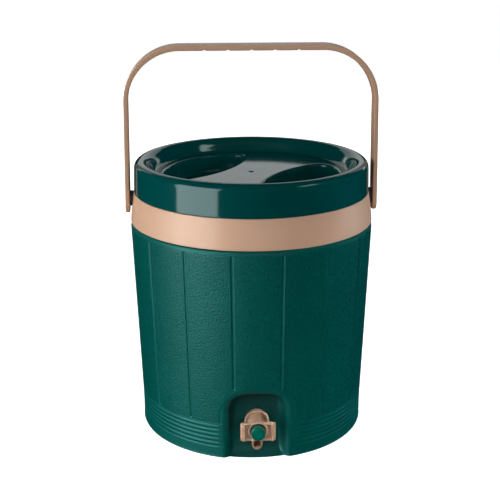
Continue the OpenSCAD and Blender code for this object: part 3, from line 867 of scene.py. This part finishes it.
    # the strap between the feet
    rows = []
    across = np.linspace(half, -half, 9)
    for i, (x, z, nx, nz) in enumerate(line):
        if i == 0:
            rows.append(ends[0])
            continue
        if i == m - 1:
            rows.append(ends[1])
            continue
        t = thick(i)
        ti = t - notch(i)
        rows.append(([add((x, w, z)) for w in across], [add((x - nx * ti, w, z - nz * ti)) for w in across]))
    for (o0, i0), (o1, i1) in zip(rows, rows[1:]):
        for k in range(8):
            faces.append((o0[k], o0[k + 1], o1[k + 1], o1[k]))
            faces.append((i0[k + 1], i0[k], i1[k], i1[k + 1]))
        faces.append((o0[0], o1[0], i1[0], i0[0]))
        faces.append((o1[8], o0[8], i0[8], i1[8]))
        for k in (0, 8):
            weights[frozenset((o0[k], o1[k]))] = 1.0
            weights[frozenset((i0[k], i1[k]))] = 0.85
    return verts, faces, weights


v, f, w = handle_mesh()
ob = piece("bail_handle", v, f, M_BEIGE, "handle", ["handle"])
me = ob.data
layer = me.attributes.new("bevel_weight_edge", "FLOAT", "EDGE")
values = np.array([w.get(frozenset(e.vertices), 0.0) for e in me.edges], np.float32)
layer.data.foreach_set("value", values)
bev = ob.modifiers.new("soft_edges", "BEVEL")
bev.limit_method = "WEIGHT"
bev.width = 0.95 * S
bev.segments = 5
bev.use_clamp_overlap = False
bev.harden_normals = False
print("handle", len(v), len(f), float(values.sum()))


# ------------------------------------------------------------------ tap
def surface_nets(field, lo, hi, cell, close=3):
    """Quads over the zero level of field(x, y, z); points are drawn onto the level and carry its normals."""
    n = [int(math.ceil((b - a) / cell)) + 1 for a, b in zip(lo, hi)]
    ax = [a + cell * np.arange(k) for a, k in zip(lo, n)]
    g = field(*np.meshgrid(*ax, indexing="ij", sparse=True)).astype(np.float32)
    inside = g < 0
    corners = np.zeros([k - 1 for k in n], np.int8)
    for o in np.ndindex(2, 2, 2):
        corners += inside[tuple(slice(a, k - 1 + a) for a, k in zip(o, n))]
    cellmask = (corners > 0) & (corners < 8)
    ids = np.full(cellmask.shape, -1, np.int64)
    at = np.argwhere(cellmask)
    ids[cellmask] = np.arange(len(at))
    acc, cnt = np.zeros((len(at), 3)), np.zeros(len(at))
    for axis in range(3):
        for o in np.ndindex(2, 2):
            p = at.copy()
            others = [k for k in range(3) if k != axis]
            p[:, others[0]] += o[0]
            p[:, others[1]] += o[1]
            q = p.copy()
            q[:, axis] += 1
            a, b = g[tuple(p.T)], g[tuple(q.T)]
            cross = (a < 0) != (b < 0)
            t = np.where(cross, a / np.where(cross, a - b, 1.0), 0.0)
            pt = p.astype(float)
            pt[:, axis] += t
            acc[cross] += pt[cross]
            cnt[cross] += 1
    v = np.array(lo) + cell * acc / cnt[:, None]
    faces = []
    for axis in range(3):
        u, w = [(1, 2), (2, 0), (0, 1)][axis]
        a = inside
        sl0, sl1 = [slice(None)] * 3, [slice(None)] * 3
        sl0[axis], sl1[axis] = slice(0, -1), slice(1, None)
        e = a[tuple(sl0)] != a[tuple(sl1)]
        pts = np.argwhere(e)
        ok = (pts[:, u] > 0) & (pts[:, w] > 0) & (pts[:, u] < n[u] - 1) & (pts[:, w] < n[w] - 1)
        pts = pts[ok]
        flip = a[tuple(pts.T)]
        q = []
        for du, dw in ((1, 1), (0, 1), (0, 0), (1, 0)):
            p = pts.copy()
            p[:, u] -= du
            p[:, w] -= dw
            q.append(ids[tuple(p.T)])
        q = np.stack(q, -1)
        q[~flip] = q[~flip][:, ::-1]
        faces.append(q)
    faces = np.concatenate(faces)
    e = 0.02

    def grad(p):
        return np.stack([field(*(p + e * d).T) - field(*(p - e * d).T) for d in np.eye(3)], -1) / (2 * e)
    for _ in range(close):
        d = field(*v.T)
        k = grad(v)
        step = d[:, None] * k / np.maximum((k ** 2).sum(1), 0.25)[:, None]
        size = np.linalg.norm(step, axis=1, keepdims=True)
        v = v - step * np.minimum(1.0, 0.35 * cell / np.maximum(size, 1e-9))
    k = grad(v)
    k /= np.maximum(np.linalg.norm(k, axis=1, keepdims=True), 1e-9)
    return v, faces, k


def slab(x, y, z, cx, cy, cz, hx_, hy, hz, r):
    """A box with edges rounded by r."""
    qx, qy, qz = np.abs(x - cx) - hx_ + r, np.abs(y - cy) - hy + r, np.abs(z - cz) - hz + r
    out = np.sqrt(np.maximum(qx, 0) ** 2 + np.maximum(qy, 0) ** 2 + np.maximum(qz, 0) ** 2)
    return out + np.minimum(np.maximum(qx, np.maximum(qy, qz)), 0) - r


def rod(a, b, t, r, t0, t1, e):
    """A cylinder of radius r along t, between t0 and t1, with edges rounded by e."""
    d, h = np.sqrt(a * a + b * b) - r + e, np.abs(t - 0.5 * (t0 + t1)) - 0.5 * (t1 - t0) + e
    return np.sqrt(np.maximum(d, 0) ** 2 + np.maximum(h, 0) ** 2) + np.minimum(np.maximum(d, h), 0) - e


def tap_front(x, y, z):
    """The tap in front of its flange: barrel, guard, spout, and the bores."""
    zz = z - 38.0
    barrel = rod(x, zz, y, 9.9, -133.0, -104.0, 0.55)
    plate = slab(x, y, z, 0, -131.0, 36.9, 17.9, 1.0, 9.6, 0.4)
    crown = np.sqrt(x * x + (z + 72.3) ** 2) - 120.0
    roof = smax(smax(crown, -(crown + 2.1), 0.5), smax(np.abs(x) - 16.5, np.abs(y + 131.5) - 1.6, 0.4), 0.5)
    fill = smax(smax(crown, np.abs(y + 131.0) - 1.0, 0.6), smax(np.abs(x) - 16.5, 40.0 - z, 0.5), 0.5)
    floor_ = slab(x, y, z, 0, -131.5, 28.3, 16.4, 1.6, 0.95, 0.4)
    ax = np.abs(x)
    cheek = slab(ax, y, z, 15.62, -132.5, 37.1, 2.28, 2.5, 9.75, 0.85)
    cheek = smax(cheek, (ax - 17.9) * 0.7 + (z - 46.85) * 0.7 + 0.9, 1.4)
    corner = (ax - 17.9) * 0.72 - (z - 27.35) * 0.69 + 1.9
    cheek = smax(cheek, corner, 1.6)
    body = smin(plate, fill, 0.4)
    body = smin(body, roof, 0.7)
    body = smin(body, floor_, 0.7)
    body = smin(body, cheek, 0.9)
    body = smin(body, barrel, 0.9)
    spout = rod(x, y + 116.0, z, 5.8, 2.0, 36.0, 0.3)
    # the mouth is cut obliquely, facing forward and down
    c, s = math.cos(math.radians(60)), math.sin(math.radians(60))
    cut = -((z - 5.0) * c + (y + 110.25) * s)
    mouth = smax(spout, cut, 0.5)
    body = smin(body, mouth, 1.6)
    body = smax(body, -rod(x, y + 116.0, z, 3.4, -20.0, 38.0, 0.1), 0.35)
    body = smax(body, -rod(x, zz, y, 8.3, -140.0, -123.5, 0.3), 0.6)
    body = smax(body, -rod(x, zz, y, 2.1, -130.0, -118.0, 0.0), 0.1)
    body = smax(body, -rod(x, zz, y, 4.9, -120.4, -104.0, 0.3), 0.2)
    # sunk panels in the guard's face, beside the barrel
    panel = slab(ax, y, z, 8.2, -132.5, 37.1, 4.9, 1.35, 7.6, 0.35)
    body = smax(body, -smax(panel, -(barrel - 0.55), 0.3), 0.35)
    return body


v, f, k = surface_nets(tap_front, (-20.0, -136.5, 2.0), (20.0, -103.0, 52.0), 0.42)
print("tap", v.shape, len(f))
# painted shade, carried as the deep attribute: darker higher up inside the spout bore, deeper into the button bore, and
# over the guard's sunk panels
deep = smooth((v[:, 2] - 8.6) / 3.6) * (np.hypot(v[:, 0], v[:, 1] + 116.0) < 3.7) * (v[:, 2] < 34)
deep = np.maximum(deep, (np.hypot(v[:, 0], v[:, 2] - 38.0) < 8.5) * smooth((v[:, 1] + 131.5) / 4.0) * (v[:, 1] < -123.0))
sunk_panel_shade = (np.abs(v[:, 0]) < 13.1) * (np.abs(v[:, 2] - 37.1) < 7.5) * (v[:, 1] < -130.5) * smooth((v[:, 1] + 132.3) / 0.8) * (np.hypot(v[:, 0], v[:, 2] - 38.0) > 9.9)
deep = np.maximum(deep, 0.6 * sunk_panel_shade)
ob = piece("tap_front", v, f, M_TAP, "jug", ["tap_body"], fix=False, attrs={"deep": deep})
ob.data.normals_split_custom_set_from_vertices([tuple(q) for q in k])


def shank_mesh():
    """The threaded shank that goes through the wall, open at both ends."""
    out = [(6.6, -77.0), (8.3, -77.0), (9.0, -77.5), (9.0, -78.4)]
    y = -79.0
    while y > -103.0:
        out += [(9.8, y), (9.8, y - 0.35), (9.05, y - 1.0), (9.05, y - 1.3)]
        y -= 2.0
    out += [(9.8, -103.6), (9.8, -109.0), (4.9, -109.0), (4.9, -107.2), (4.2, -107.0), (4.2, -105.6), (6.6, -105.4)]
    return revolve(out, 72, "y", (0, 0, 38.0), closed=True)


v, f = shank_mesh()
piece("tap_shank", v, f, M_TAP, "jug", ["tap_body"], angle=35)

prof = support(fillet([(10.7, -108.2), (10.7, -105.75), (13.1, -105.75, 0.3), (13.1, -108.9, 0.55), (12.4, -109.25, 0.5), (11.7, -109.2, 0.35), (11.4, -108.5, 0.35)]), True, 0.25, 1.2)
v, f = revolve(prof, 96, "y", (0, 0, 37.1), closed=True)
piece("tap_rosette", v, f, M_TAP, "jug", ["tap_flange"])

prof = [(0, -140.15), (2.0, -140.12), (4.0, -140.02), (5.4, -139.86)]
prof += [(6.35 + 1.0 * math.cos(math.radians(a)), -138.8 - 1.0 * math.sin(math.radians(a))) for a in range(84, -1, -12)]
prof += [(7.35, -138.2), (7.35, -136.9), (7.35, -132.0), (7.35, -127.9), (7.15, -127.5), (6.2, -127.5), (6.0, -127.7), (6.0, -136.2), (5.8, -136.4), (3.4, -136.4), (3.2, -136.2),
         (3.2, -131.3), (3.1, -131.2), (2.1, -131.2), (2.0, -131.3), (2.0, -135.2), (0, -135.2)]
v, f = revolve(prof, 96, "y", (0, 0, 38.0))
piece("push_button", v, f, M_BUTTON, "button", ["tap_button"])

v, f = revolve(fillet([(10.05, -105.68), (11.9, -105.68, 0.2), (11.9, -104.52, 0.2), (10.05, -104.52)]), 72, "y", (0, 0, 38.0), closed=True)
piece("tap_washer", v, f, M_SILICONE, "jug", ["tap_outer_gasket"])


def spring_mesh(front, rear, wire, rm, turns):
    """The return spring: five turns of round wire with closed ends."""
    n, k = 28 * turns, 12
    a = TAU * np.arange(n + 1) / 28
    y = front + wire + (rear - front - 2 * wire) * np.arange(n + 1) / n
    b = TAU * np.arange(k) / k
    r = rm + wire * np.cos(b)[None, :]
    ring = np.stack([r * np.cos(a)[:, None], y[:, None] + wire * np.sin(b)[None, :], 38.0 + r * np.sin(a)[:, None]], -1)
    faces = grid_faces(n + 1, k, True)
    faces += [tuple(range(k))[::-1], tuple(n * k + i for i in range(k))]
    return ring.reshape(-1, 3), faces


SPRING_FRONT, SPRING_REAR = -136.35, -123.55
v, f = spring_mesh(SPRING_FRONT, SPRING_REAR, 0.4, 4.3, 5)
ob = piece("return_spring", v, f, M_STEEL, "jug", ["tap_spring"], angle=60)
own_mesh(ob)


# ------------------------------------------------------------------ foam between the walls
def foam_mesh():
    n = 180
    phi = TAU * (np.arange(n) + 0.5) / n - math.pi
    z_out = np.array([5.8, 12, 19, 30, 42, 56, 70, 92, 104, 130, 160, 190, 210, 219, 228.6, 236, 246, 255.0])
    r_out = np.interp(z_out, [0, 20, 40, 219, 228.6, 255.4], [118.7, 118.7, 119.4, 126.4, 122.7, 119.2])
    z_in = np.array([5.8, 12, 18.3, 30, 42, 56, 70, 92, 104, 130, 160, 190, 210, 219, 230.0, 235.2, 246, 255.0])
    r_in = np.interp(z_in, [5.8, 18.2, 19.0, 23, 28, 230.0, 234.8, 255.4], [92.0, 92.0, 95.5, 98.0, 98.7, 106.2, 110.8, 110.8])
    c, s = np.cos(phi)[None, :], np.sin(phi)[None, :]
    outer = np.stack([r_out[:, None] * s, -r_out[:, None] * c, z_out[:, None] + 0 * c], -1)
    inner = np.stack([r_in[:, None] * s, -r_in[:, None] * c, z_in[:, None] + 0 * c], -1)
    mid = 0.25 * (outer[:-1] + outer[1:] + np.roll(outer[:-1], -1, 1) + np.roll(outer[1:], -1, 1))
    skip = (np.abs(mid[..., 0]) < 43.0) & (mid[..., 1] < 0) & (mid[..., 2] < 92)
    rows, base = len(z_out), len(z_out) * n
    faces = grid_faces(rows, n, True, 0, skip) + [f[::-1] for f in grid_faces(rows, n, True, base, skip)]
    for i in range(rows - 1):
        for j in range(n):
            if skip[i, j]:
                continue
            k = (j + 1) % n
            if i == 0:
                faces.append((j, base + j, base + k, k))
            elif skip[i - 1, j]:
                faces.append((i * n + j, base + i * n + j, base + i * n + k, i * n + k))
            if i == rows - 2:
                faces.append(((i + 1) * n + j, (i + 1) * n + k, base + (i + 1) * n + k, base + (i + 1) * n + j))
            if skip[i, (j - 1) % n]:
                faces.append((i * n + j, (i + 1) * n + j, base + (i + 1) * n + j, base + i * n + j))
            if skip[i, k]:
                faces.append((i * n + k, base + i * n + k, base + (i + 1) * n + k, (i + 1) * n + k))
    return np.concatenate([outer.reshape(-1, 3), inner.reshape(-1, 3)]), faces


v, f = foam_mesh()
piece("foam_fill", v, f, M_FOAM, "jug", ["foam_core"], angle=40)



# ------------------------------------------------------------------ camera
PITCH, PAN, ROLL, YAW = (math.radians(v) for v in (17.2515, -0.079, -0.11, 2.85))
fw = np.array([math.sin(PAN) * math.cos(PITCH), math.cos(PAN) * math.cos(PITCH), -math.sin(PITCH)])
rt = np.array([math.cos(PAN), -math.sin(PAN), 0.0])
up = np.cross(rt, fw)
r2 = math.cos(ROLL) * rt + math.sin(ROLL) * up
u2 = -math.sin(ROLL) * rt + math.cos(ROLL) * up
turn = np.array(Matrix.Rotation(-YAW, 3, "Z"))
r2, u2, fw = turn @ r2, turn @ u2, turn @ fw
cam = bpy.data.objects.new("camera", bpy.data.cameras.new("camera"))
cam.data.sensor_width = 36.0
cam.data.lens = 76.057
cam.data.clip_start = 0.05
cam.data.clip_end = 60.0
cam.matrix_world = Matrix([[r2[0], u2[0], -fw[0], -0.05505], [r2[1], u2[1], -fw[1], -1.10580],
                           [r2[2], u2[2], -fw[2], 0.53447], [0, 0, 0, 1]])
scene.collection.objects.link(cam)
scene.camera = cam


# ------------------------------------------------------------------ floor and light
def floor_material():
    g = Graph("floor_pale")
    n = g.noise(3.0, 3.0, 0.5)
    g.set(Base_Color=g.mix(n, (0.48, 0.48, 0.48), (0.52, 0.52, 0.52)), Roughness=0.9, Specular_IOR_Level=0.0)
    g.set(Emission_Color=(1.0, 1.0, 1.0, 1.0), Emission_Strength=1.0)
    return g.mat


floor = bpy.data.meshes.new("floor")
floor.from_pydata([(-14, -14, 0), (14, -14, 0), (14, 14, 0), (-14, 14, 0)], [], [(0, 1, 2, 3)])
floor.materials.append(floor_material())
floor = bpy.data.objects.new("floor", floor)
scene.collection.objects.link(floor)
floor.location.z = -0.0002
floor.visible_glossy = False
floor.visible_diffuse = False
floor.visible_shadow = False

world = bpy.data.worlds.new("studio")
scene.world = world
world.use_nodes = True
world.node_tree.nodes["Background"].inputs[0].default_value = (1.0, 1.0, 1.0, 1.0)
world.node_tree.nodes["Background"].inputs[1].default_value = 1.0
world.cycles_visibility.diffuse = False
world.cycles_visibility.glossy = False


def softbox(name, at, look, width, height, radiance, colour=(1, 1, 1), glossy=True, diffuse=True, spread=180):
    """A rectangular area light of a given surface radiance."""
    data = bpy.data.lights.new(name, "AREA")
    data.shape = "RECTANGLE"
    data.size, data.size_y = width, height
    data.energy = radiance * math.pi * width * height
    data.color = colour
    data.spread = math.radians(spread)
    ob = bpy.data.objects.new(name, data)
    scene.collection.objects.link(ob)
    d = Vector(look) - Vector(at)
    ob.matrix_world = Matrix.Translation(at) @ d.to_track_quat("-Z", "Y").to_matrix().to_4x4()
    ob.visible_camera = False
    ob.visible_glossy = glossy
    ob.visible_diffuse = diffuse
    return ob


def around(azimuth, elevation, distance, z=0.27):
    """A point seen from the lid's centre: azimuth from -Y toward +X, in degrees."""
    a, e = math.radians(azimuth), math.radians(elevation)
    return (distance * math.cos(e) * math.sin(a), -distance * math.cos(e) * math.cos(a), z + distance * math.sin(e))


def fill(name, azimuth, elevation, distance, width, height, share, colour=(1, 1, 1)):
    """A light for matt surfaces only: share is the light it gives a white surface that faces it."""
    softbox(name, around(azimuth, elevation, distance, 0.2), (0, 0, 0.2), width, height,
            share * math.pi * distance ** 2 / (width * height), colour, glossy=False)


softbox("key", around(-54.5, 8.0, 1.5), (0, 0, 0.27), 1.2, 1.3, 4.3, diffuse=False)
softbox("key_low", around(-54.5, -20.5, 1.5), (0, 0, 0.27), 1.2, 0.26, 2.6, diffuse=False)
fill("left", -80.0, 4.0, 1.7, 0.9, 1.4, 1.38)
fill("front", 6.0, 16.0, 2.4, 1.6, 1.6, 0.56)
fill("right", 104.0, 4.0, 1.8, 0.9, 1.4, 1.38, (0.77, 0.84, 0.95))
fill("back", 176.0, 10.0, 2.4, 1.8, 1.6, 0.60)
fill("back_left", -140.0, 8.0, 2.4, 1.4, 1.6, 0.40)
fill("top", -20.0, 78.0, 2.0, 1.4, 1.4, 0.12)
fill("below", 10.0, -70.0, 2.2, 1.6, 1.6, 0.16)
softbox("tap_top", (-0.15, -1.25, 0.95), (0.0, -0.13, 0.03), 0.35, 0.35, 0.6, glossy=False, spread=14)
softbox("window", around(62.0, 42.0, 1.5), (0, 0, 0.28), 0.42, 0.22, 4.0, diffuse=False)
softbox("glint_left", around(140.0, 10.0, 2.4), (0, 0, 0.27), 0.34, 0.20, 1.5, diffuse=False)
softbox("glint_right", around(-145.0, 10.0, 2.4), (0, 0, 0.27), 0.34, 0.20, 1.4, diffuse=False)
softbox("backdrop", (0.0, 3.2, 1.74), (0, 0, 1.0), 5.0, 1.72, 0.82, diffuse=False)

scene.view_settings.view_transform = "Standard"
scene.view_settings.look = "None"
